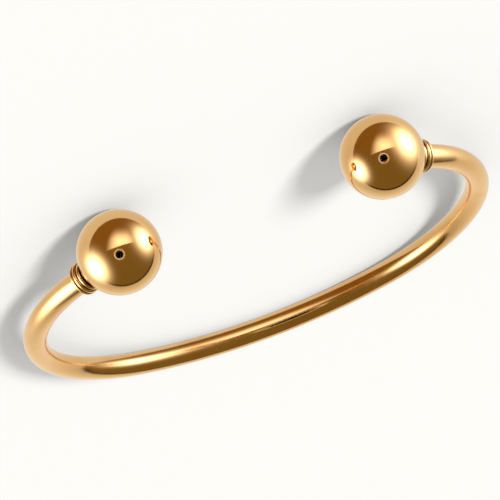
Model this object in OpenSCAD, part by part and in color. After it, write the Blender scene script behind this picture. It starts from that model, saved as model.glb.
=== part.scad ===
// Torque bangle: an open oval of plain round bar. Each end carries a collar of two rings
// with a lower half-round band, and a hollow ball. The bar ends in a thinner peg, which
// goes from the mouth of the collar into the ball.
// The bangle is modelled as it lies by itself on a flat surface. It touches the surface
// at the middle of its back and under both balls, so its plane slopes up to the mouth.
// Lengths are in millimetres. +X runs across the wrist, +Y from the back to the mouth
// and +Z up. The origin is on the surface, below the middle of the bangle.

/* [Bar] */
// Thickness of the round bar
bar_d = 3; // [2.8:0.1:3.2]
// Radius of the flat curve across the back, along the middle of the bar
back_r = 39; // [36:0.5:44]
// How far the back curve turns, to each side of its middle
back_turn = 25.5; // [22:0.5:28]
// Radius of the round curve at each side
side_r = 22.8; // [21:0.2:24]
// How far the side curve turns
side_turn = 88; // [84:1:92]
// Radius of the last curve before each neck
end_r = 19; // [17:0.5:22]
// How far the last curve turns
end_turn = 25; // [21:1:29]
// Straight stretch from the last curve to the middle of the ball
neck_len = 8; // [7.8:0.1:10]
// How much thinner the back and last curves are, which plug into the bar beside them
plug_step = 0.02; // [0.01:0.002:0.03]

/* [Collars] */
// Outer diameter of the two rings
collar_d = 4.3; // [4.2:0.05:4.8]
// Thickness of the round wire of a ring
ring_wire = 0.56; // [0.5:0.02:0.6]
// Distance between the middles of the two rings
ring_pitch = 0.47; // [0.4:0.01:0.48]
// Distance from the middle of the ball to the middle of the collar
collar_reach = 6.52; // [6.4:0.02:6.8]
// Outer diameter of the half-round band between the rings and the ball
band_d = 3.9; // [3.8:0.05:4.1]
// Thickness of the round form of the band
band_wire = 0.66; // [0.6:0.02:0.7]
// Distance between the middles of the band and of the ring beside it
band_pitch = 0.5; // [0.4:0.01:0.55]

/* [Balls] */
// Outer diameter of the ball
ball_d = 10.5; // [10:0.1:10.8]
// Thickness of the ball's wall
ball_wall = 0.5; // [0.4:0.05:0.8]
// Thickness of the peg at the end of the bar
peg_d = 2.3; // [2:0.1:2.5]
// How far the peg reaches past the inside of the ball's wall
peg_reach = 1.2; // [0.6:0.1:2]

/* [Fit] */
// Play round the bar and the peg, on each side
fit_gap = 0.03; // [0.02:0.01:0.05]

/* [Hidden] */
$fn = 96;
gold = "#d9a441";

// Which side of the bangle a piece is on
left = -1;
right = 1;

// Unit vector to the left of a heading, in degrees from +X
function left_of(heading) = [-sin(heading), cos(heading)];
// Unit vector along a heading
function along(heading) = [cos(heading), sin(heading)];
// Where a curve to the left ends
function bend_end(start, heading, turn, r) =
    start + r * (left_of(heading) - left_of(heading + turn));

// The middle line of the right half, flat, from the middle of the back to the ball
end_heading = back_turn + side_turn;
neck_heading = end_heading + end_turn;
side_start = bend_end([0, 0], 0, back_turn, back_r);
end_start = bend_end(side_start, back_turn, side_turn, side_r);
neck_start = bend_end(end_start, end_heading, end_turn, end_r);
ball_at = neck_start + neck_len * along(neck_heading);

// How far one stretch of bar plugs into the next
plug_len = 0.3;

// Distances from the middle of the ball, back along the neck
band_reach = collar_reach - ring_pitch / 2 - band_pitch;
shoulder_at = band_reach - band_wire / 2;
peg_end = ball_d / 2 - ball_wall - peg_reach;

// Rings, band and the sleeve that joins the rings, which ends inside their wire
ring_mid_r = (collar_d - ring_wire) / 2;
band_mid_r = (band_d - band_wire) / 2;
sleeve_len = ring_pitch + ring_wire * 2 / 3;

// Slope at which the back and both balls touch the surface, and the middle of the length
rest_slope = asin((ball_d - bar_d) / 2 / ball_at.y);
middle_y = (ball_at.y * cos(rest_slope) + ball_d / 2 - bar_d / 2) / 2;

// Lays the flat bangle down on the surface
module lying() {
    translate([0, -middle_y, bar_d / 2])
        rotate([rest_slope, 0, 0])
            children();
}

// Moves a piece of the right half to its side
module on_side(side) {
    mirror([side == left ? 1 : 0, 0, 0])
        children();
}

// Puts the ball's middle at the origin, with +Z back along the neck
module at_ball() {
    translate([ball_at.x, ball_at.y, 0])
        rotate([0, 0, neck_heading])
            rotate([0, -90, 0])
                children();
}

// A length of bar bent to the left, from a start and a heading
module bend(start, heading, turn, r, d = bar_d) {
    centre = start + r * left_of(heading);
    translate([centre.x, centre.y, 0])
        rotate([0, 0, heading - 90])
            rotate_extrude(angle = turn)
                translate([r, 0])
                    circle(d = d);
}

// A slightly thinner bend, whose two ends plug into the bar beside it
module plug_bend(start, heading, turn, r) {
    extra = plug_len / r * 180 / PI;
    longer_start = bend_end(start, heading, -extra, r);
    bend(longer_start, heading - extra, turn + 2 * extra, r, bar_d - plug_step);
}

// The side curve, the last curve, the neck and the peg of the right half
module bar_end() {
    bend(side_start, back_turn, side_turn, side_r);
    plug_bend(end_start, end_heading, end_turn, end_r);
    at_ball() {
        translate([0, 0, shoulder_at])
            cylinder(d = bar_d, h = neck_len - shoulder_at);
        translate([0, 0, peg_end])
            cylinder(d = peg_d, h = shoulder_at - peg_end);
    }
}

module bar() {
    back_start = [-side_start.x, side_start.y];
    color(gold)
        lying() {
            plug_bend(back_start, -back_turn, 2 * back_turn, back_r);
            on_side(left) bar_end();
            on_side(right) bar_end();
        }
}

// Outline of the collar from inside the bore: two rings of round wire on a sleeve, and the band
module collar_outline() {
    for (ring = [-1, 1])
        translate([ring_mid_r, collar_reach + ring * ring_pitch / 2])
            circle(d = ring_wire);
    translate([band_mid_r, band_reach])
        circle(d = band_wire);
    translate([band_mid_r, collar_reach - sleeve_len / 2])
        square([ring_mid_r - band_mid_r, sleeve_len]);
    translate([peg_d / 2, band_reach])
        square([band_mid_r - peg_d / 2, collar_reach + sleeve_len / 2 - band_reach]);
}

// Two rings and a lower half-round band in one piece, bored for the bar
module collar(side) {
    bore_d = bar_d + 2 * fit_gap;
    color(gold)
        lying()
            on_side(side)
                at_ball()
                    difference() {
                        rotate_extrude() collar_outline();
                        cylinder(d = bore_d, h = 2 * collar_reach);
                    }
}

// A hollow ball with a hole for the peg
module ball(side) {
    hole_d = peg_d + 2 * fit_gap;
    color(gold)
        lying()
            on_side(side)
                at_ball()
                    difference() {
                        sphere(d = ball_d);
                        sphere(d = ball_d - 2 * ball_wall);
                        cylinder(d = hole_d, h = ball_d);
                    }
}

bar();
collar(left);  // collar_left
collar(right);  // collar_right
ball(left);  // ball_left
ball(right);  // ball_right
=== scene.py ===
"""Torque bangle in polished yellow gold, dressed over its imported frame.

The bangle lies on a pale floor, in the frame's own metres: +X across the wrist, +Y from the back
to the mouth, +Z up. Every shape is a numpy grid, and every finish is made of shader nodes.
"""

import math

import bpy
import numpy as np
from bpy.props import FloatProperty, FloatVectorProperty, PointerProperty
from mathutils import Matrix, Vector


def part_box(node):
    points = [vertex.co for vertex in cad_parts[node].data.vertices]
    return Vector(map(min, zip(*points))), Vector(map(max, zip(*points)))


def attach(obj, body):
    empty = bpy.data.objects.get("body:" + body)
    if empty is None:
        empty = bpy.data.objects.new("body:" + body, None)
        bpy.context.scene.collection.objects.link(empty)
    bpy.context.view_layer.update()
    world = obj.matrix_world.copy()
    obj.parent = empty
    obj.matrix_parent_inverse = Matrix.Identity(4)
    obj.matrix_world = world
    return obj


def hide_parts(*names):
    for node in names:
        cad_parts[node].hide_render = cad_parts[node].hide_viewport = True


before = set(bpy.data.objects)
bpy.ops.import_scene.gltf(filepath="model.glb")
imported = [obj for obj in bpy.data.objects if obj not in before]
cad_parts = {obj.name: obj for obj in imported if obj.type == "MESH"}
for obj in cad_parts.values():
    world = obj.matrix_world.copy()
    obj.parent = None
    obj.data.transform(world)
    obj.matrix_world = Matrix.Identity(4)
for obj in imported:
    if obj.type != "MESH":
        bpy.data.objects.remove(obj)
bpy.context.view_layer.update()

bl_info = {
    "name": "Torque Bangle",
    "version": (1, 0, 0),
    "blender": (4, 5, 0),
    "location": "View3D > Sidebar > Bangle",
    "description": "Builds a gold torque bangle with ball ends, and a pale stage to see it on",
    "category": "Object",
}

MM = 0.001
SIDES = {"left": -1.0, "right": 1.0}


def middle_and_size(node):
    """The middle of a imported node's box, and its size along each axis, in metres."""
    low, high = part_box(node)
    return (low + high) / 2, high - low


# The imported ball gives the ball's place and its size, to a tenth of a millimetre
BALL_MIDDLE, BALL_SIZE = middle_and_size("ball_right")
BALL_D = round(BALL_SIZE.z, 4)


# Sizes and colours that a user would change


class BangleSizes(bpy.types.PropertyGroup):
    """Sizes of the bar, the collars and the balls"""

    bar_d: FloatProperty(
        name="Bar Thickness",
        description="Diameter of the round bar",
        default=3.0 * MM,
        unit="LENGTH",
    )
    back_r: FloatProperty(
        name="Back Radius",
        description="Radius of the flat curve across the back, at the middle of the bar",
        default=39.0 * MM,
        unit="LENGTH",
    )
    back_turn: FloatProperty(
        name="Back Turn",
        description="How far the back curve turns, to each side of its middle",
        default=math.radians(25.5),
        subtype="ANGLE",
    )
    side_r: FloatProperty(
        name="Side Radius",
        description="Radius of the round curve at each side",
        default=22.8 * MM,
        unit="LENGTH",
    )
    side_turn: FloatProperty(
        name="Side Turn",
        description="How far the side curve turns",
        default=math.radians(88.0),
        subtype="ANGLE",
    )
    end_r: FloatProperty(
        name="End Radius",
        description="Radius of the last curve before each neck",
        default=19.0 * MM,
        unit="LENGTH",
    )
    end_turn: FloatProperty(
        name="End Turn",
        description="How far the last curve turns",
        default=math.radians(25.0),
        subtype="ANGLE",
    )
    neck_len: FloatProperty(
        name="Neck Length",
        description="Straight stretch from the last curve to the middle of the ball",
        default=8.0 * MM,
        unit="LENGTH",
    )
    peg_d: FloatProperty(
        name="Peg Thickness",
        description="Diameter of the peg that goes into the ball",
        default=2.3 * MM,
        unit="LENGTH",
    )
    peg_reach: FloatProperty(
        name="Peg Reach",
        description="How far the peg reaches past the inside of the ball's wall",
        default=1.2 * MM,
        unit="LENGTH",
    )
    collar_d: FloatProperty(
        name="Collar Diameter",
        description="Outer diameter of the two rings",
        default=4.3 * MM,
        unit="LENGTH",
    )
    ring_wire: FloatProperty(
        name="Ring Wire",
        description="Thickness of the round wire of a ring",
        default=0.56 * MM,
        unit="LENGTH",
    )
    ring_pitch: FloatProperty(
        name="Ring Pitch",
        description="Distance between the middles of the two rings",
        default=0.47 * MM,
        unit="LENGTH",
    )
    collar_reach: FloatProperty(
        name="Collar Reach",
        description="Distance from the middle of the ball to the middle of the collar",
        default=6.52 * MM,
        unit="LENGTH",
    )
    band_d: FloatProperty(
        name="Band Diameter",
        description="Outer diameter of the half-round band between the rings and the ball",
        default=3.9 * MM,
        unit="LENGTH",
    )
    band_wire: FloatProperty(
        name="Band Thickness",
        description="Thickness of the round form of the band",
        default=0.66 * MM,
        unit="LENGTH",
    )
    band_pitch: FloatProperty(
        name="Band Pitch",
        description="Distance between the middles of the band and of the ring beside it",
        default=0.5 * MM,
        unit="LENGTH",
    )
    ball_d: FloatProperty(
        name="Ball Diameter",
        description="Outer diameter of each ball",
        default=BALL_D,
        unit="LENGTH",
    )
    ball_wall: FloatProperty(
        name="Ball Wall",
        description="Thickness of the ball's wall",
        default=0.5 * MM,
        unit="LENGTH",
    )
    fit_gap: FloatProperty(
        name="Fit Gap",
        description="Play round the bar and the peg, on each side",
        default=0.03 * MM,
        unit="LENGTH",
    )
    bar_ripple: FloatProperty(
        name="Bar Ripple",
        description="Height of the low waves that hand polishing leaves along the bar",
        default=0.006 * MM,
        unit="LENGTH",
    )
    ball_ripple: FloatProperty(
        name="Ball Ripple",
        description="Height of the low waves that hand polishing leaves on a ball",
        default=0.006 * MM,
        unit="LENGTH",
    )


class GoldFinish(bpy.types.PropertyGroup):
    """Colour and wear of the gold"""

    gold: FloatVectorProperty(
        name="Gold",
        description="Colour of the clean metal",
        default=(0.96, 0.60, 0.26),
        subtype="COLOR",
        size=3,
        min=0.0,
        max=1.0,
    )
    worn_gold: FloatVectorProperty(
        name="Worn Gold",
        description="Slightly redder and duller colour of handled metal",
        default=(0.90, 0.53, 0.21),
        subtype="COLOR",
        size=3,
        min=0.0,
        max=1.0,
    )
    # The groove colour stands both for tarnish and polish in the grooves and for painted shade there
    groove: FloatVectorProperty(
        name="Groove Colour",
        description="Colour of the polish and tarnish left in the grooves",
        default=(0.07, 0.022, 0.008),
        subtype="COLOR",
        size=3,
        min=0.0,
        max=1.0,
    )
    polish: FloatProperty(
        name="Polish Roughness",
        description="Roughness of the clean metal on the balls and the collars",
        default=0.05,
        min=0.0,
        max=1.0,
    )
    bar_polish: FloatProperty(
        name="Bar Roughness",
        description="Roughness of the clean metal on the bar, which is less finely polished",
        default=0.12,
        min=0.0,
        max=1.0,
    )
    smudge: FloatProperty(
        name="Smudge Roughness",
        description="Roughness that handling adds where it dulls the metal most",
        default=0.07,
        min=0.0,
        max=1.0,
    )
    scratch_depth: FloatProperty(
        name="Scratch Depth",
        description="Depth of the hairline scratches",
        default=0.0015 * MM,
        unit="LENGTH",
    )


class StudioSetup(bpy.types.PropertyGroup):
    """Camera, floor and lights"""

    camera_at: FloatVectorProperty(
        name="Camera",
        description="Where the camera stands",
        default=(-0.045309, 0.458022, 0.211597),
        subtype="XYZ",
        unit="LENGTH",
        size=3,
    )
    aim_at: FloatVectorProperty(
        name="Aim",
        description="Point in the middle of the picture",
        default=(-0.000322, 0.000961, 0.001837),
        subtype="XYZ",
        unit="LENGTH",
        size=3,
    )
    roll: FloatProperty(
        name="Camera Roll",
        description="Turn of the camera about its line of sight",
        default=math.radians(-157.62),
        subtype="ANGLE",
    )
    lens_mm: FloatProperty(
        name="Lens",
        description="Focal length on a sensor 36 mm wide",
        default=288.0,
    )
    floor_tone: FloatVectorProperty(
        name="Floor Tone",
        description="Colour of the bright floor as the picture shows it",
        default=(0.991, 0.982, 0.947),
        subtype="COLOR",
        size=3,
        min=0.0,
        max=1.0,
    )
    floor_r: FloatProperty(
        name="Floor Radius",
        description="Radius of the round floor",
        default=2.0,
        unit="LENGTH",
    )
    key_share: FloatProperty(
        name="Key Share",
        description="Share of the floor's light that the key lamp gives, the rest being soft light",
        default=0.40,
        min=0.0,
        max=1.0,
    )
    key_angle: FloatProperty(
        name="Key Softness",
        description="Width of the key lamp as the bangle sees it",
        default=math.radians(14.0),
        subtype="ANGLE",
    )


# Shapes on numpy grids


def skin(name, grid, wrap_rows=False, recess=None):
    """A closed mesh over a grid of points, rows by columns by 3.

    The columns of each row close into a ring. With wrap_rows the last row joins the first, as on a
    torus. Otherwise the first and last rows are single points, the poles, each given as a whole row
    of equal points, and a fan of triangles closes each. The faces are turned outwards by the sign
    of the volume, the sum over the triangles of a . (b x c) / 6. recess has a value for each row,
    which becomes the points' attribute of that name.
    """
    n_rows, n_cols = grid.shape[:2]
    if wrap_rows:
        points = grid.reshape(-1, 3)
        index = np.arange(n_rows * n_cols).reshape(n_rows, n_cols)
        upper = index
        lower = np.roll(index, -1, axis=0)
        fans = np.zeros((0, 3), int)
    else:
        points = np.concatenate([grid[0, :1], grid[1:-1].reshape(-1, 3), grid[-1, :1]])
        index = 1 + np.arange((n_rows - 2) * n_cols).reshape(n_rows - 2, n_cols)
        upper = index[:-1]
        lower = index[1:]
        first = index[0]
        last = index[-1]
        end = np.full(n_cols, len(points) - 1)
        fans = np.concatenate([
            np.stack([0 * first, np.roll(first, -1), first], 1),
            np.stack([end, last, np.roll(last, -1)], 1),
        ])
    quads = np.stack([upper, np.roll(upper, -1, 1), np.roll(lower, -1, 1), lower], -1).reshape(-1, 4)
    triangles = np.concatenate([quads[:, [0, 1, 2]], quads[:, [0, 2, 3]], fans])
    a, b, c = (points[triangles[:, k]] for k in range(3))
    if np.einsum("ij,ij->", a, np.cross(b, c)) < 0:
        quads = quads[:, ::-1]
        fans = fans[:, ::-1]

    mesh = bpy.data.meshes.new(name)
    mesh.vertices.add(len(points))
    mesh.vertices.foreach_set("co", points.astype(np.float32).ravel())
    corners = np.concatenate([quads.ravel(), fans.ravel()])
    sizes = np.concatenate([np.full(len(quads), 4), np.full(len(fans), 3)])
    mesh.loops.add(len(corners))
    mesh.loops.foreach_set("vertex_index", corners.astype(np.int32))
    mesh.polygons.add(len(sizes))
    starts = np.concatenate([[0], np.cumsum(sizes)[:-1]])
    mesh.polygons.foreach_set("loop_start", starts.astype(np.int32))
    mesh.update(calc_edges=True)
    mesh.validate()
    mesh.shade_smooth()
    if recess is not None:
        rows = np.broadcast_to(recess[:, None], (n_rows, n_cols))
        values = rows.ravel()
        if not wrap_rows:
            values = np.concatenate([rows[0, :1], rows[1:-1].ravel(), rows[-1, :1]])
        layer = mesh.attributes.new("recess", "FLOAT", "POINT")
        layer.data.foreach_set("value", values.astype(np.float32))
    piece = bpy.data.objects.new(name, mesh)
    bpy.context.scene.collection.objects.link(piece)
    return piece


def stretches(sizes):
    """Length and curvature of each stretch of the bar, from the back's middle to a ball's middle."""
    lengths = np.array([
        sizes.back_r * sizes.back_turn,
        sizes.side_r * sizes.side_turn,
        sizes.end_r * sizes.end_turn,
        sizes.neck_len,
    ])
    curvatures = np.array([1 / sizes.back_r, 1 / sizes.side_r, 1 / sizes.end_r, 0.0])
    return lengths, curvatures


def flat_path(sizes, s):
    """Points and headings of the bar's middle line, laid flat, at the distances s from the back.

    Each stretch adds what it covers of s: a curve of curvature k from heading h adds
    (sin(h + kt) - sin h, cos h - cos(h + kt)) / k over its length t, and a straight one t times
    its direction. A negative s gives the mirrored half.
    """
    lengths, curvatures = stretches(sizes)
    reach = np.abs(s)
    x = np.zeros_like(reach)
    y = np.zeros_like(reach)
    heading = np.zeros_like(reach)
    start = 0.0
    start_heading = 0.0
    for length, k in zip(lengths, curvatures):
        last = k == 0.0
        t = np.clip(reach - start, 0.0, None if last else length)
        if last:
            x += t * math.cos(start_heading)
            y += t * math.sin(start_heading)
        else:
            x += (np.sin(start_heading + k * t) - math.sin(start_heading)) / k
            y += (math.cos(start_heading) - np.cos(start_heading + k * t)) / k
            heading += k * t
        start += length
        start_heading += k * length
    side = np.where(s < 0, -1.0, 1.0)
    return np.stack([side * x, y], -1), side * heading


def lay_down(sizes, points):
    """Turns flat points to the slope at which the bangle rests, and puts them in their place.

    The back's middle stays at half the bar's height, and the balls' middles fall on the packed
    balls, so the slope's sine is the difference of the two heights over the flat distance.
    """
    lengths, _ = stretches(sizes)
    ball_flat, _ = flat_path(sizes, np.array([lengths.sum()]))
    slope = math.asin((BALL_MIDDLE.z - sizes.bar_d / 2) / ball_flat[0, 1])
    back_y = BALL_MIDDLE.y - ball_flat[0, 1] * math.cos(slope)
    x, y, z = np.moveaxis(points, -1, 0)
    return np.stack([
        x,
        back_y + y * math.cos(slope) - z * math.sin(slope),
        sizes.bar_d / 2 + y * math.sin(slope) + z * math.cos(slope),
    ], -1)


def arc(middle, radius, start, end, count):
    """Points of an arc in a profile, from one angle in degrees to the other, both included."""
    angle = np.radians(np.linspace(start, end, count))
    return np.stack([middle[0] + radius * np.cos(angle), middle[1] + radius * np.sin(angle)], -1)


def band_reach(sizes):
    """Distance from the ball's middle to the middle of the half-round band."""
    return sizes.collar_reach - sizes.ring_pitch / 2 - sizes.band_pitch


def turned_about_neck(sizes, side, profile, columns):
    """A grid that turns a profile about the neck's own line.

    The profile's first column is the distance from the line and its second the distance from the
    ball's middle back along the neck, both in metres. Column c of the grid is turned by c / columns
    of a full turn.
    """
    lengths, curvatures = stretches(sizes)
    total = lengths.sum()
    heading = float((lengths * curvatures).sum())
    ball_flat, _ = flat_path(sizes, np.array([total]))
    along = np.array([math.cos(heading), math.sin(heading)])
    across = np.array([-along[1], along[0]])
    turn = np.linspace(0, 2 * math.pi, columns, endpoint=False)
    radius = profile[:, :1]
    back = profile[:, 1:]
    x = ball_flat[0, 0] - back * along[0] + radius * np.cos(turn) * across[0]
    y = ball_flat[0, 1] - back * along[1] + radius * np.cos(turn) * across[1]
    z = radius * np.sin(turn)
    return np.stack([side * x, y, z], -1)


# Each wave of the ripple: how close its crests are, its direction, and the angle it starts at
CROSSED_WAVES = ((1.0, (0.83, 0.41, -0.37), 0.0), (1.0, (-0.71, 0.29, 0.0), 1.1))
BROAD_WAVE = (0.61, (0.53, -0.77, 0.35), 2.3)
FINE_WAVE = (1.37, (0.12, 0.58, 0.8), 0.7)
FINE_SHARE = 0.4


def wave(points, k, kind):
    """A sine of the distance d along a direction: sin(closeness * k * d + start)."""
    closeness, direction, start = kind
    x, y, z = np.moveaxis(points, -1, 0)
    return np.sin(closeness * k * (direction[0] * x + direction[1] * y + direction[2] * z) + start)


def ripple(points, height, length):
    """Low smooth waves over space, of about the given length.

    They are height / 3 times the sum of two crossed waves multiplied, a broad wave, and a share of
    a fine one.
    """
    k = 2 * math.pi / length
    crossed = wave(points, k, CROSSED_WAVES[0]) * wave(points, k, CROSSED_WAVES[1])
    broad = wave(points, k, BROAD_WAVE)
    fine = wave(points, k, FINE_WAVE) * FINE_SHARE
    return height * (crossed + broad + fine) / 3


# The pieces


# How finely the grids and the parts of their profiles are divided
BAR_ROWS = 420
BAR_COLUMNS = 72
PEG_ROWS = 12
BALL_COLUMNS = 192
BALL_OUTSIDE_ROWS = 150
BALL_INSIDE_ROWS = 48
COLLAR_COLUMNS = 160
WIRE_ROWS = 34
ROUND_END_ROWS = 9
EDGE_ROWS = 7
BURR_ROWS = 5
BORE_EDGE_ROWS = 4

# Lengths of the main waves of the ripple
BAR_WAVE = 14.0 * MM
BALL_WAVE = 9.0 * MM

# Where the band and the far ring count as deepest on their open side, in degrees from straight
# out, negative towards the ball; there their tarnish and painted shade are full
BAND_DEEP = -62.0
RING_DEEP = 110.0


def bar_grid(sizes):
    """The bar: a circle of the bar's thickness carried along its middle line.

    Its radius follows a profile of distance against radius: full to the shoulder's small rounding,
    across the shoulder, down the peg to its rounded end, and to a pole. The profile's other half
    is its mirror image. The radius also carries the ripple. With the grid comes a value for each
    row, 0 on the bar and 1 on the peg. The finish paints the peg dark, as tarnish and as painted
    shade inside the ball.
    """
    lengths, _ = stretches(sizes)
    total = lengths.sum()
    bar_r = sizes.bar_d / 2
    peg_r = sizes.peg_d / 2
    shoulder = total - (band_reach(sizes) - sizes.band_wire / 2)
    peg_end = total - (sizes.ball_d / 2 - sizes.ball_wall - sizes.peg_reach)
    edge = 0.06 * MM
    peg_edge = 0.25 * MM
    plain = np.linspace(0, shoulder - edge, BAR_ROWS)
    peg = np.linspace(shoulder + edge, peg_end - peg_edge, PEG_ROWS)[1:]
    half = np.concatenate([
        np.stack([plain, np.full_like(plain, bar_r)], -1),
        arc((shoulder - edge, bar_r - edge), edge, 90, 0, EDGE_ROWS)[1:],
        arc((shoulder + edge, peg_r + edge), edge, 180, 270, EDGE_ROWS),
        np.stack([peg, np.full_like(peg, peg_r)], -1),
        arc((peg_end - peg_edge, peg_r - peg_edge), peg_edge, 90, 0, ROUND_END_ROWS)[1:],
        [[peg_end, 0.0]],
    ])
    profile = np.concatenate([half[:0:-1] * [-1, 1], half])
    s = profile[:, 0]
    radius = profile[:, 1:]
    middle, heading = flat_path(sizes, s)
    across = np.stack([-np.sin(heading), np.cos(heading)], -1)
    turn = np.linspace(0, 2 * math.pi, BAR_COLUMNS, endpoint=False)
    grid = np.stack([
        middle[:, :1] + radius * np.cos(turn) * across[:, :1],
        middle[:, 1:] + radius * np.cos(turn) * across[:, 1:],
        radius * np.sin(turn),
    ], -1)
    centre = np.stack([middle[:, 0], middle[:, 1], 0 * s], -1)[:, None, :]
    share = ripple(grid, sizes.bar_ripple, BAR_WAVE) / bar_r
    grid = centre + (grid - centre) * (1 + share)[..., None]
    recess = np.clip((np.abs(s) - shoulder + edge) / (2 * edge), 0, 1)
    return lay_down(sizes, grid), recess


def fillet(first, first_r, second, second_r, radius):
    """The small arc of solder that touches two circles from outside, and the angles at its ends.

    Its middle stands off each circle's middle by the sum of the two radii. The first angle is seen
    from the first circle and the second from the second one, both in degrees.
    """
    gap = np.subtract(second, first)
    apart = math.hypot(*gap)
    near = first_r + radius
    far = second_r + radius
    along = (apart ** 2 + near ** 2 - far ** 2) / (2 * apart)
    off = math.sqrt(near ** 2 - along ** 2)
    unit = gap / apart
    middle = first + along * unit + off * np.array([unit[1], -unit[0]])
    leave, land = (
        math.degrees(math.atan2(middle[1] - spot[1], middle[0] - spot[0]))
        for spot in (first, second)
    )
    return arc(middle, radius, leave + 180, land + 180, EDGE_ROWS)[1:-1], leave, land


def wire_arc(middle, radius, start, end, deep_start, deep_end):
    """An arc of round wire, with the depth of each point.

    The depth is the square of the point's angle over the deepest angle on its side, at most 1.
    """
    angle = np.linspace(start, end, WIRE_ROWS)
    depth = np.where(angle < 0, angle / deep_start, angle / deep_end) ** 2
    return arc(middle, radius, start, end, WIRE_ROWS), np.clip(depth, 0, 1)


def collar_profile(sizes):
    """The collar's section, a closed outline: a half-round band and two round wires on a sleeve.

    It starts in the bore next to the ball and runs over the band and both wires, with a fillet of
    solder in each notch. With the outline comes how deep each point lies, from 0 on top of a form
    to 1 in the notches and towards the ball; the finish paints it dark there, as tarnish and as
    painted shade.
    """
    bore_r = sizes.bar_d / 2 + sizes.fit_gap
    wire_r = sizes.ring_wire / 2
    band_r = sizes.band_wire / 2
    band = ((sizes.band_d - sizes.band_wire) / 2, band_reach(sizes))
    near = (sizes.collar_d / 2 - wire_r, sizes.collar_reach - sizes.ring_pitch / 2)
    far = (near[0], sizes.collar_reach + sizes.ring_pitch / 2)
    past_ring = sizes.ring_wire / 3
    sleeve = sizes.ring_pitch / 2 + past_ring
    solder_r = 0.025 * MM
    edge = 0.02 * MM
    at_bore = math.degrees(math.acos((bore_r - band[0]) / band_r))
    at_sleeve = 180 - math.degrees(math.asin(past_ring / wire_r))
    low_solder, off_band, on_near = fillet(band, band_r, near, wire_r, solder_r)
    high_solder, off_near, on_far = fillet(near, wire_r, far, wire_r, solder_r)
    bore_at = (bore_r + edge, sizes.collar_reach + sleeve - edge)
    bore_edge = arc(bore_at, edge, 90, 180, BORE_EDGE_ROWS)
    arcs_and_depths = (
        wire_arc(band, band_r, -at_bore, off_band, BAND_DEEP, off_band),
        (low_solder, np.ones(len(low_solder))),
        wire_arc(near, wire_r, on_near, off_near, on_near, off_near),
        (high_solder, np.ones(len(high_solder))),
        wire_arc(far, wire_r, on_far, at_sleeve, on_far, RING_DEEP),
        (bore_edge, np.ones(len(bore_edge))),
    )
    outline, depth = (np.concatenate(parts) for parts in zip(*arcs_and_depths))
    return outline, depth


def ball_profile(sizes):
    """The hollow ball's section, from the pole of its outside to the pole of its inside.

    It runs over the outside to the hole's rounded rim, an arc that touches the sphere and the
    hole, through the wall, and round the inside. With it comes how sheltered each point lies: 1 in
    the hole and inside, fading from 1 to 0 on the outside round the collar, and 0 beyond. The
    finish paints sheltered metal dark, as tarnish and as painted shade from the collar.
    """
    outer_r = sizes.ball_d / 2
    inner_r = outer_r - sizes.ball_wall
    hole_r = sizes.peg_d / 2 + sizes.fit_gap
    rim = 0.08 * MM
    burr = 0.03 * MM
    shelter_out = 0.1 * MM
    shelter_fade = 0.4 * MM
    rim_at = (hole_r + rim, math.sqrt((outer_r - rim) ** 2 - (hole_r + rim) ** 2))
    burr_at = (hole_r + burr, math.sqrt((inner_r + burr) ** 2 - (hole_r + burr) ** 2))
    rim_angle = math.degrees(math.atan2(rim_at[1], rim_at[0]))
    burr_angle = math.degrees(math.atan2(burr_at[1], burr_at[0]))
    outside = arc((0, 0), outer_r, -90, rim_angle, BALL_OUTSIDE_ROWS)
    wall = np.concatenate([
        arc(rim_at, rim, rim_angle, 180, ROUND_END_ROWS)[1:],
        arc(burr_at, burr, 180, 180 + burr_angle, BURR_ROWS),
    ])
    inside = arc((0, 0), inner_r, burr_angle, -90, BALL_INSIDE_ROWS)[1:]
    sheltered = np.clip((sizes.collar_d / 2 + shelter_out - outside[:, 0]) / shelter_fade, 0, 1)
    sheltered = np.where(outside[:, 1] > 0, sheltered, 0.0)
    recess = np.concatenate([sheltered, 0 * wall[:, 0] + 1, 0 * inside[:, 0] + 1])
    return np.concatenate([outside, wall, inside]), recess


def ball_grid(sizes, side):
    """A ball: its section turned about the neck, with the ripple along the way out of the middle."""
    profile, recess = ball_profile(sizes)
    grid = turned_about_neck(sizes, side, profile, BALL_COLUMNS)
    lengths, _ = stretches(sizes)
    flat, _ = flat_path(sizes, np.array([side * lengths.sum()]))
    centre = np.array([flat[0, 0], flat[0, 1], 0.0])
    outside = (1 - recess)[:, None]
    share = ripple(grid, sizes.ball_ripple, BALL_WAVE) * outside / (sizes.ball_d / 2)
    return lay_down(sizes, centre + (grid - centre) * (1 + share)[..., None]), recess


# Finishes


def node(tree, kind, inputs=None, **settings):
    """Adds a node with its settings, and fills its inputs with values or links them to sockets."""
    made = tree.nodes.new(kind)
    for key, value in settings.items():
        setattr(made, key, value)
    for key, value in (inputs or {}).items():
        if isinstance(value, bpy.types.NodeSocket):
            tree.links.new(value, made.inputs[key])
        else:
            made.inputs[key].default_value = value
    return made


def maths(tree, operation, a, b=0.0, c=0.0):
    """The output of a Math node."""
    return node(tree, "ShaderNodeMath", {0: a, 1: b, 2: c}, operation=operation).outputs[0]


def ramp(tree, value, low, high, smooth=True):
    """0 below low, 1 above high, and a smooth or straight climb between. High may be the lower."""
    kind = "SMOOTHSTEP" if smooth else "LINEAR"
    inputs = {"Value": value, "From Min": low, "From Max": high}
    return node(tree, "ShaderNodeMapRange", inputs, interpolation_type=kind).outputs["Result"]


def blend(tree, share, first, second, **settings):
    """Mixes two colours. A Mix node's inputs 6 and 7 and its output 2 are the ones for colours."""
    inputs = {0: share, 6: first, 7: second}
    return node(tree, "ShaderNodeMix", inputs, data_type="RGBA", **settings).outputs[2]


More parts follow.
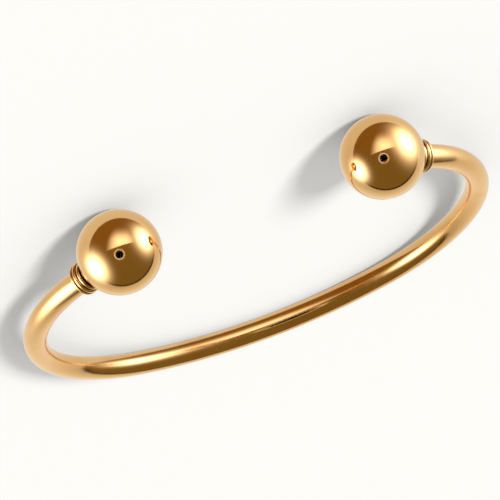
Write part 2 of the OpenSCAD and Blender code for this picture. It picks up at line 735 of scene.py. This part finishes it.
def group(name, inputs, outputs):
    """A new shader node group with float or vector sockets, as (group, its input node's outputs)."""
    made = bpy.data.node_groups.new(name, "ShaderNodeTree")
    for label, kind in inputs:
        made.interface.new_socket(label, in_out="INPUT", socket_type=kind)
    for label, kind in outputs:
        made.interface.new_socket(label, in_out="OUTPUT", socket_type=kind)
    return made, node(made, "NodeGroupInput").outputs


def blank(made):
    """Gives a new material or world its nodes, and returns the tree with none in it."""
    made.use_nodes = True
    made.node_tree.nodes.clear()
    return made.node_tree


# How worn each piece is, from 0 to 1
BAR_WEAR = 1.0
COLLAR_WEAR = 0.8
BALL_WEAR = 0.7

# Values of noise between which a mask climbs from 0 to 1
SMUDGE_LIMITS = (0.44, 0.72)
TONE_LIMITS = (0.35, 0.7)
SCRATCH_LIMITS = (0.66, 0.74)

# Each way that scratches run: the turn of its noise, in radians, and its closeness along each axis
SCRATCH_TURNS = (
    ((0.3, 0.9, 0.2), (0.12, 9.0, 9.0)),
    ((1.2, 0.1, 2.0), (8.0, 0.16, 10.0)),
    ((0.7, 2.2, 0.9), (11.0, 9.0, 0.14)),
)

# How far noise moves the edge of the tarnish and painted shade in the recesses, where they climb
# to full, and how much they dull
TARNISH_AND_SHADE_NOISE = 0.16
TARNISH_AND_SHADE_LIMITS = (0.3, 0.85)
TARNISH_AND_SHADE_DULL = 0.25


def handling_wear():
    """Wear of polished metal: soft smudges, and hairline scratches that run three ways.

    Vector is in millimetres, and Amount is how worn the metal is. Smudges is 0 to 1 in blotches of
    a few millimetres, and Tone the same in wider ones. Height is a relief from -1 to 0, in which
    thin streaks of stretched noise are the scratches.
    """
    name = "handling_wear"
    if name in bpy.data.node_groups:
        return bpy.data.node_groups[name]
    tree, given = group(
        name,
        [("Vector", "NodeSocketVector"), ("Amount", "NodeSocketFloat")],
        [("Smudges", "NodeSocketFloat"), ("Tone", "NodeSocketFloat"), ("Height", "NodeSocketFloat")],
    )
    blotch = {"Vector": given["Vector"], "Scale": 0.31, "Detail": 4.0, "Roughness": 0.6}
    smudges = ramp(tree, node(tree, "ShaderNodeTexNoise", blotch).outputs["Fac"], *SMUDGE_LIMITS)
    tint = {"Vector": given["Vector"], "Scale": 0.12, "Detail": 2.0, "Distortion": 0.4}
    tone = ramp(tree, node(tree, "ShaderNodeTexNoise", tint).outputs["Fac"], *TONE_LIMITS)
    scratches = 0.0
    for turn, spread in SCRATCH_TURNS:
        stretched = node(
            tree, "ShaderNodeMapping",
            {"Vector": given["Vector"], "Rotation": turn, "Scale": spread},
        ).outputs["Vector"]
        streaks = {"Vector": stretched, "Scale": 1.0, "Detail": 1.0, "Roughness": 0.4}
        noise = node(tree, "ShaderNodeTexNoise", streaks).outputs["Fac"]
        scratches = maths(tree, "MAXIMUM", scratches, ramp(tree, noise, *SCRATCH_LIMITS))
    height = maths(tree, "MULTIPLY", scratches, maths(tree, "MULTIPLY", given["Amount"], -1.0))
    node(tree, "NodeGroupOutput", {
        "Smudges": maths(tree, "MULTIPLY", smudges, given["Amount"]),
        "Tone": maths(tree, "MULTIPLY", tone, given["Amount"]),
        "Height": height,
    })
    return tree


def groove_patina():
    """Tarnish, polish left in the recesses, and painted shade there: the recess, eaten into by noise
    at its edge.

    Vector is in millimetres, and Recess is 0 in the open to 1 at the bottom of a groove.
    """
    name = "groove_patina"
    if name in bpy.data.node_groups:
        return bpy.data.node_groups[name]
    tree, given = group(
        name,
        [("Vector", "NodeSocketVector"), ("Recess", "NodeSocketFloat")],
        [("Mask", "NodeSocketFloat")],
    )
    grain = {"Vector": given["Vector"], "Scale": 3.0, "Detail": 2.0, "Roughness": 0.5}
    noise = node(tree, "ShaderNodeTexNoise", grain).outputs["Fac"]
    moved = maths(tree, "MULTIPLY_ADD", noise, TARNISH_AND_SHADE_NOISE, -TARNISH_AND_SHADE_NOISE / 2)
    eaten = maths(tree, "ADD", given["Recess"], moved)
    node(tree, "NodeGroupOutput", {"Mask": ramp(tree, eaten, *TARNISH_AND_SHADE_LIMITS)})
    return tree


def gold_material(name, finish, wear, polish):
    """Polished gold: clean colour, redder where handled, darkened in the recesses by tarnish and
    painted shade, finely scratched.
    """
    material = bpy.data.materials.new(name)
    tree = blank(material)
    place = node(tree, "ShaderNodeTexCoord").outputs["Object"]
    in_mm = node(
        tree, "ShaderNodeVectorMath", {0: place, "Scale": 1 / MM}, operation="SCALE"
    ).outputs["Vector"]
    worn = node(tree, "ShaderNodeGroup", node_tree=handling_wear())
    tree.links.new(in_mm, worn.inputs["Vector"])
    worn.inputs["Amount"].default_value = wear
    recess = node(tree, "ShaderNodeAttribute", attribute_name="recess").outputs["Fac"]
    tarnish_and_shade = node(tree, "ShaderNodeGroup", node_tree=groove_patina())
    tree.links.new(in_mm, tarnish_and_shade.inputs["Vector"])
    tree.links.new(recess, tarnish_and_shade.inputs["Recess"])
    handled = blend(tree, worn.outputs["Tone"], (*finish.gold, 1), (*finish.worn_gold, 1))
    # The recesses are painted dark, both for tarnish and for the shade that falls in them
    colour = blend(tree, tarnish_and_shade.outputs["Mask"], handled, (*finish.groove, 1))
    dull = maths(tree, "MULTIPLY_ADD", worn.outputs["Smudges"], finish.smudge, polish)
    roughness = maths(tree, "MULTIPLY_ADD", tarnish_and_shade.outputs["Mask"], TARNISH_AND_SHADE_DULL, dull)
    bump = node(tree, "ShaderNodeBump", {
        "Strength": 1.0,
        "Distance": finish.scratch_depth,
        "Height": worn.outputs["Height"],
    })
    shader = node(tree, "ShaderNodeBsdfPrincipled", {
        "Base Color": colour,
        "Metallic": 1.0,
        "Roughness": roughness,
        "Normal": bump.outputs["Normal"],
    })
    node(tree, "ShaderNodeOutputMaterial", {"Surface": shader.outputs["BSDF"]})
    return material


# The stage


BLACK = (0.0, 0.0, 0.0, 1)
WHITE = (1.0, 1.0, 1.0, 1)
SENSOR_MM = 36.0
NEAR_CLIP = 10.0 * MM
ROUND_COLUMNS = 96
DOME_ROWS = 49

# The key lamp's direction along X and Y, and its angle above level
LIGHT_HEADING = (11.6, 20.6)
LIGHT_RISE = math.radians(30.0)

# Light that falls on the open floor, which makes its paint that much darker than its tone
FLOOR_LIGHT = 1.25

# A ray has bounced off the floor or the like once its diffuse depth is past this
FIRST_BOUNCE = 0.5

# What gold's reflections see once light bounces on, so that gold leaves no tint on the floor
BOUNCE_TINT = (0.55, 0.86, 1.9)

# Radius of the clear dome that the panels glow on
DOME_R = 115.0 * MM

# The soft panels: their middle as parts along the camera's right, down and forward directions,
# half their height and width in degrees, how sharply they fall off, and how bright they are
PANELS = (
    {"middle": (-0.838, 0.523, -0.156), "half": (22.6, 24.0), "fall": 2.2, "glow": 5.5},
    {"middle": (0.862, -0.478, -0.170), "half": (23.6, 23.6), "fall": 1.7, "glow": 5.5},
)

# Added to the part of a direction towards a panel, a little over 1 so that nothing divides by 0
PANEL_AHEAD = 1.001

# The glow from which a panel hides all that is behind it
PANEL_HIDES = 1.25

# The pale sweep's colours, and the parts down and forward over which they change
PAPER_FAR = (0.74, 0.72, 0.66, 1)
PAPER_NEAR = (0.57, 0.55, 0.48, 1)
PAPER_UNDER = (0.93, 0.92, 0.86, 1)
PAPER_DOWN = (-0.6, 0.7)
PAPER_FORWARD = (0.3, 0.85)

# The dark room's colours, and the parts down over which they change
ROOM_ABOVE = (0.235, 0.122, 0.024, 1)
ROOM_BELOW = (0.195, 0.135, 0.038, 1)
ROOM_DOWN = (-0.6, 0.5)

# The room's edge: the part forward where it lies, its lean, its bow and its softness
ROOM_EDGE = 0.24
ROOM_EDGE_LEAN = 0.185
ROOM_EDGE_BOW = -0.10
ROOM_EDGE_SOFT = 0.02

# The dark seam along the room's edge: how far inside the edge it starts and is full, and the
# slanting line across which it sets in
SEAM = (0.03, 0.012, 0.004, 1)
SEAM_START = 0.14
SEAM_FULL = 0.06
SEAM_SLANT = 0.6
SEAM_SETS_IN = (0.45, 0.8)

# The paler patch: its light, the slant of its lower edge, and each side as 0 and full
PATCH_LIGHT = (1.5, 1.5, 1.5, 1)
PATCH_SLANT = 0.37
PATCH_BOTTOM = (-0.27, -0.315)
PATCH_TOP = (-0.98, -0.50)
PATCH_LEFT = (-0.75, 0.05)
PATCH_RIGHT = (1.2, 0.3)
PATCH_FRONT = (0.02, 0.2)

# The camera's lens: its direction, the colour of the ring round it, and where the edges of the
# ring and of the black inside it start and end, in degrees
LENS_AT = (0.033, 0.097, -0.995)
LENS_RING = (0.95, 0.90, 0.80, 1)
LENS_RING_EDGE = (14.6, 13.4)
LENS_BLACK_EDGE = (11.8, 10.6)


def camera_axes(setup):
    """The camera's right, down and forward directions."""
    forward = (Vector(setup.aim_at) - Vector(setup.camera_at)).normalized()
    level_up = (Vector((0, 0, 1)) - forward * forward.z).normalized()
    level_right = forward.cross(level_up)
    up = level_up * math.cos(setup.roll) + level_right * math.sin(setup.roll)
    return forward.cross(up), -up, forward


def towards(axes, parts):
    """The direction whose parts along the camera's right, down and forward are given."""
    right, down, forward = axes
    return (right * parts[0] + down * parts[1] + forward * parts[2]).normalized()


def dot(tree, direction, axis):
    """The part of a direction that lies along a fixed axis."""
    inputs = {0: direction, 1: tuple(axis)}
    return node(tree, "ShaderNodeVectorMath", inputs, operation="DOT_PRODUCT").outputs["Value"]


def round_spot(tree, towards_spot, edge):
    """1 inside a round spot, 0 outside, by the part of a direction that points at its middle.

    The edge is two angles in degrees, where the spot starts and where it is full.
    """
    start, full = (math.cos(math.radians(angle)) for angle in edge)
    return ramp(tree, towards_spot, start, full)


def panel_light(tree, direction, axes, panel):
    """The light of a soft round panel: its glow times exp(-r to the power of its fall).

    r is how far the direction lies from the panel's middle, 1 at the panel's half height or half
    width. Angles become lengths as tan(angle / 2), which is the sideways part of a direction over
    1 plus its part towards the middle.
    """
    forward = axes[2]
    out = towards(axes, panel["middle"])
    rise = out.cross(forward).normalized()
    along = rise.cross(out)
    ahead = maths(tree, "ADD", dot(tree, direction, out), PANEL_AHEAD)
    squares = 0.0
    for axis, half in zip((rise, along), panel["half"]):
        place = maths(tree, "DIVIDE", dot(tree, direction, axis), ahead)
        place = maths(tree, "DIVIDE", place, math.tan(math.radians(half) / 2))
        squares = maths(tree, "MULTIPLY_ADD", place, place, squares)
    fall = maths(tree, "MULTIPLY", maths(tree, "POWER", squares, panel["fall"] / 2), -1.0)
    return maths(tree, "MULTIPLY", maths(tree, "EXPONENT", fall), panel["glow"])


def ceiling_patch(tree, direction, axes):
    """A paler patch of the room above the lens, with a sharp slanting lower edge and soft sides."""
    right, down, forward = axes
    along = dot(tree, direction, -forward)
    below = dot(tree, direction, down)
    across = maths(tree, "DIVIDE", dot(tree, direction, right), along)
    drop = maths(tree, "DIVIDE", below, along)
    slant = maths(tree, "MULTIPLY_ADD", across, PATCH_SLANT, drop)
    mask = ramp(tree, along, *PATCH_FRONT)
    for value, limits in (
        (slant, PATCH_BOTTOM),
        (below, PATCH_TOP),
        (across, PATCH_LEFT),
        (across, PATCH_RIGHT),
    ):
        mask = maths(tree, "MULTIPLY", mask, ramp(tree, value, *limits))
    return mask


def studio_colour(tree, direction, axes):
    """What the gold reflects: a pale sweep behind the bangle and a dark room on the camera's side.

    The room ends where the direction's forward part passes an edge that leans and bows with its
    sideways part. A dark seam runs along the lower right of that edge. A paler patch, and the lens
    with a pale ring round it, are near the room's middle.
    """
    right, down, forward = axes
    ahead = dot(tree, direction, forward)
    below = dot(tree, direction, down)
    beside = dot(tree, direction, right)
    near = blend(tree, ramp(tree, ahead, *PAPER_FORWARD, smooth=False), PAPER_NEAR, PAPER_UNDER)
    sweep = blend(tree, ramp(tree, below, *PAPER_DOWN), PAPER_FAR, near)
    room = blend(tree, ramp(tree, below, *ROOM_DOWN), ROOM_ABOVE, ROOM_BELOW)
    lean = maths(tree, "MULTIPLY_ADD", beside, ROOM_EDGE_BOW, ROOM_EDGE_LEAN)
    past = maths(tree, "SUBTRACT", ahead, maths(tree, "MULTIPLY", beside, lean))
    in_room = ramp(tree, past, ROOM_EDGE + ROOM_EDGE_SOFT, ROOM_EDGE - ROOM_EDGE_SOFT)
    corner = maths(tree, "MULTIPLY_ADD", beside, SEAM_SLANT, below)
    seam = ramp(tree, past, ROOM_EDGE - SEAM_START, ROOM_EDGE - SEAM_FULL)
    seam = maths(tree, "MULTIPLY", seam, ramp(tree, corner, *SEAM_SETS_IN))
    colour = blend(tree, in_room, sweep, blend(tree, seam, room, SEAM))
    patch = ceiling_patch(tree, direction, axes)
    colour = blend(tree, patch, colour, PATCH_LIGHT, blend_type="ADD", clamp_result=False)
    towards_lens = dot(tree, direction, towards(axes, LENS_AT))
    colour = blend(tree, round_spot(tree, towards_lens, LENS_RING_EDGE), colour, LENS_RING)
    return blend(tree, round_spot(tree, towards_lens, LENS_BLACK_EDGE), colour, BLACK)


def make_world(scene, setup, axes):
    """The surroundings: the studio for what the gold reflects, and plain soft light for the rest.

    A reflection that comes after a bounce off the floor sees the bounce's tint instead.
    """
    world = bpy.data.worlds.new("soft_studio")
    scene.world = world
    world.cycles.sampling_method = "NONE"
    tree = blank(world)
    direction = node(tree, "ShaderNodeTexCoord").outputs["Generated"]
    rays = node(tree, "ShaderNodeLightPath").outputs
    soft = FLOOR_LIGHT * (1 - setup.key_share)
    colour = blend(tree, rays["Is Camera Ray"], (soft, soft, soft, 1), (*setup.floor_tone, 1))
    bounced = tuple(soft * part for part in BOUNCE_TINT) + (1,)
    after_bounce = maths(tree, "GREATER_THAN", rays["Diffuse Depth"], FIRST_BOUNCE)
    mirrored = blend(tree, after_bounce, studio_colour(tree, direction, axes), bounced)
    colour = blend(tree, rays["Is Glossy Ray"], colour, mirrored)
    background = node(tree, "ShaderNodeBackground", {"Color": colour})
    node(tree, "ShaderNodeOutputWorld", {"Surface": background.outputs["Background"]})


def make_panels(axes):
    """The soft panels, as light on a clear dome round the balls that only reflections see.

    The dome is a sphere: its point at the turn t and the height angle h is the centre plus its
    radius times (cos h cos t, cos h sin t, sin h).
    """
    centre = Vector((0.0, BALL_MIDDLE.y, BALL_MIDDLE.z))
    turn = np.linspace(0, 2 * math.pi, ROUND_COLUMNS, endpoint=False)
    height = np.linspace(-math.pi / 2, math.pi / 2, DOME_ROWS)[:, None]
    unit = np.stack([
        np.cos(height) * np.cos(turn),
        np.cos(height) * np.sin(turn),
        np.sin(height) + 0 * turn,
    ], -1)
    dome = skin("light_dome", np.array(centre) + DOME_R * unit)
    dome.visible_camera = False
    dome.visible_diffuse = False
    dome.visible_shadow = False
    material = bpy.data.materials.new("panel_light")
    material.cycles.emission_sampling = "NONE"
    tree = blank(material)
    place = node(tree, "ShaderNodeTexCoord").outputs["Object"]
    offset = node(
        tree, "ShaderNodeVectorMath", {0: place, 1: tuple(centre)}, operation="SUBTRACT"
    ).outputs["Vector"]
    out = node(tree, "ShaderNodeVectorMath", {0: offset}, operation="NORMALIZE").outputs["Vector"]
    glow = 0.0
    for panel in PANELS:
        glow = maths(tree, "ADD", panel_light(tree, out, axes, panel), glow)
    deep = node(tree, "ShaderNodeLightPath").outputs["Diffuse Depth"]
    glow = maths(tree, "MULTIPLY", glow, maths(tree, "LESS_THAN", deep, FIRST_BOUNCE))
    light = node(tree, "ShaderNodeEmission", {"Strength": glow}).outputs["Emission"]
    covered = ramp(tree, glow, 0.0, PANEL_HIDES, smooth=False)
    seen_through = blend(tree, covered, WHITE, BLACK)
    clear = node(tree, "ShaderNodeBsdfTransparent", {"Color": seen_through}).outputs["BSDF"]
    both = node(tree, "ShaderNodeAddShader", {0: light, 1: clear}).outputs["Shader"]
    node(tree, "ShaderNodeOutputMaterial", {"Surface": both})
    dome.data.materials.append(material)


def make_floor(scene, setup):
    """A pale round floor, seen from above only and left out of the gold's reflections."""
    turn = np.linspace(0, 2 * math.pi, ROUND_COLUMNS, endpoint=False)
    points = np.stack([np.cos(turn), np.sin(turn), 0 * turn], -1) * setup.floor_r
    mesh = bpy.data.meshes.new("floor")
    mesh.from_pydata(points.tolist(), [], [list(range(len(turn)))])
    floor = bpy.data.objects.new("floor", mesh)
    scene.collection.objects.link(floor)
    floor.visible_glossy = False
    material = bpy.data.materials.new("pale_floor")
    tree = blank(material)
    paint = tuple(tone / FLOOR_LIGHT for tone in setup.floor_tone) + (1,)
    matt = node(tree, "ShaderNodeBsdfDiffuse", {"Color": paint}).outputs["BSDF"]
    clear = node(tree, "ShaderNodeBsdfTransparent").outputs["BSDF"]
    from_below = node(tree, "ShaderNodeNewGeometry").outputs["Backfacing"]
    surface = node(tree, "ShaderNodeMixShader", {0: from_below, 1: matt, 2: clear})
    node(tree, "ShaderNodeOutputMaterial", {"Surface": surface.outputs["Shader"]})
    mesh.materials.append(material)


def make_key_light(scene, setup):
    """A wide soft lamp from the camera's side, which gives the shadows and isn't itself reflected."""
    lamp = bpy.data.lights.new("key_light", "SUN")
    lamp.angle = setup.key_angle
    lamp.energy = FLOOR_LIGHT * setup.key_share * math.pi / math.sin(LIGHT_RISE)
    key = bpy.data.objects.new("key_light", lamp)
    level = Vector((*LIGHT_HEADING, 0.0)).normalized()
    source = level * math.cos(LIGHT_RISE) + Vector((0, 0, 1)) * math.sin(LIGHT_RISE)
    key.rotation_mode = "QUATERNION"
    key.rotation_quaternion = (-source).to_track_quat("-Z", "Y")
    key.visible_glossy = False
    scene.collection.objects.link(key)


def make_camera(scene, setup, axes):
    """The camera, turned about its line of sight as in the reference picture."""
    right, down, forward = axes
    lens = bpy.data.cameras.new("camera")
    lens.lens = setup.lens_mm
    lens.sensor_width = SENSOR_MM
    lens.clip_start = NEAR_CLIP
    camera = bpy.data.objects.new("camera", lens)
    turn = Matrix((right, -down, -forward)).transposed().to_4x4()
    camera.matrix_world = Matrix.Translation(Vector(setup.camera_at)) @ turn
    scene.collection.objects.link(camera)
    scene.camera = camera


# Operators, panel and main


class BANGLE_OT_stage(bpy.types.Operator):
    """Set up the pale floor, the soft light and the camera"""

    bl_idname = "bangle.stage"
    bl_label = "Set Up Stage"

    def execute(self, context):
        scene = context.scene
        setup = scene.bangle_studio
        axes = camera_axes(setup)
        make_camera(scene, setup, axes)
        make_world(scene, setup, axes)
        make_panels(axes)
        make_floor(scene, setup)
        make_key_light(scene, setup)
        scene.view_settings.view_transform = "Standard"
        return {"FINISHED"}


def dress(piece, material, node_name):
    """Gives a piece its finish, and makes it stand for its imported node."""
    piece.data.materials.append(material)
    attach(piece, "root")
    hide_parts(node_name)


class BANGLE_OT_bar(bpy.types.Operator):
    """Build the round bar with its shoulders and pegs"""

    bl_idname = "bangle.bar"
    bl_label = "Build Bar"

    def execute(self, context):
        scene = context.scene
        finish = scene.bangle_finish
        grid, recess = bar_grid(scene.bangle_sizes)
        material = gold_material("polished_bar_gold", finish, BAR_WEAR, finish.bar_polish)
        dress(skin("round_bar", grid, recess=recess), material, "bar")
        return {"FINISHED"}


class BANGLE_OT_collars(bpy.types.Operator):
    """Build the collar of two rings and a half-round band at each end of the bar"""

    bl_idname = "bangle.collars"
    bl_label = "Build Collars"

    def execute(self, context):
        scene = context.scene
        sizes = scene.bangle_sizes
        finish = scene.bangle_finish
        outline, recess = collar_profile(sizes)
        material = gold_material("polished_collar_gold", finish, COLLAR_WEAR, finish.polish)
        for name, side in SIDES.items():
            grid = lay_down(sizes, turned_about_neck(sizes, side, outline, COLLAR_COLUMNS))
            piece = skin(f"double_ring_{name}", grid, wrap_rows=True, recess=recess)
            dress(piece, material, f"collar_{name}")
        return {"FINISHED"}


class BANGLE_OT_balls(bpy.types.Operator):
    """Build the hollow ball at each end of the bar"""

    bl_idname = "bangle.balls"
    bl_label = "Build Balls"

    def execute(self, context):
        scene = context.scene
        finish = scene.bangle_finish
        material = gold_material("polished_ball_gold", finish, BALL_WEAR, finish.polish)
        for name, side in SIDES.items():
            grid, recess = ball_grid(scene.bangle_sizes, side)
            piece = skin(f"hollow_ball_{name}", grid, recess=recess)
            dress(piece, material, f"ball_{name}")
        return {"FINISHED"}


class VIEW3D_PT_bangle(bpy.types.Panel):
    """Sidebar panel that lists the steps of the build"""

    bl_label = "Torque Bangle"
    bl_space_type = "VIEW_3D"
    bl_region_type = "UI"
    bl_category = "Bangle"

    def draw(self, context):
        for step in STEPS:
            self.layout.operator(step.bl_idname)


STEPS = (BANGLE_OT_stage, BANGLE_OT_bar, BANGLE_OT_collars, BANGLE_OT_balls)
SETTINGS = {
    "bangle_sizes": BangleSizes,
    "bangle_finish": GoldFinish,
    "bangle_studio": StudioSetup,
}


def register():
    """Registers every class, and hangs the settings on the scene."""
    for made in (*SETTINGS.values(), *STEPS, VIEW3D_PT_bangle):
        bpy.utils.register_class(made)
    for name, made in SETTINGS.items():
        setattr(bpy.types.Scene, name, PointerProperty(type=made))


def unregister():
    """Takes the settings off the scene, and unregisters every class."""
    for name in SETTINGS:
        delattr(bpy.types.Scene, name)
    for made in reversed((*SETTINGS.values(), *STEPS, VIEW3D_PT_bangle)):
        bpy.utils.unregister_class(made)


def main():
    """Runs the steps in order."""
    register()
    for step in STEPS:
        group_name, operator_name = step.bl_idname.split(".")
        getattr(getattr(bpy.ops, group_name), operator_name)()


if __name__ == "__main__":
    main()
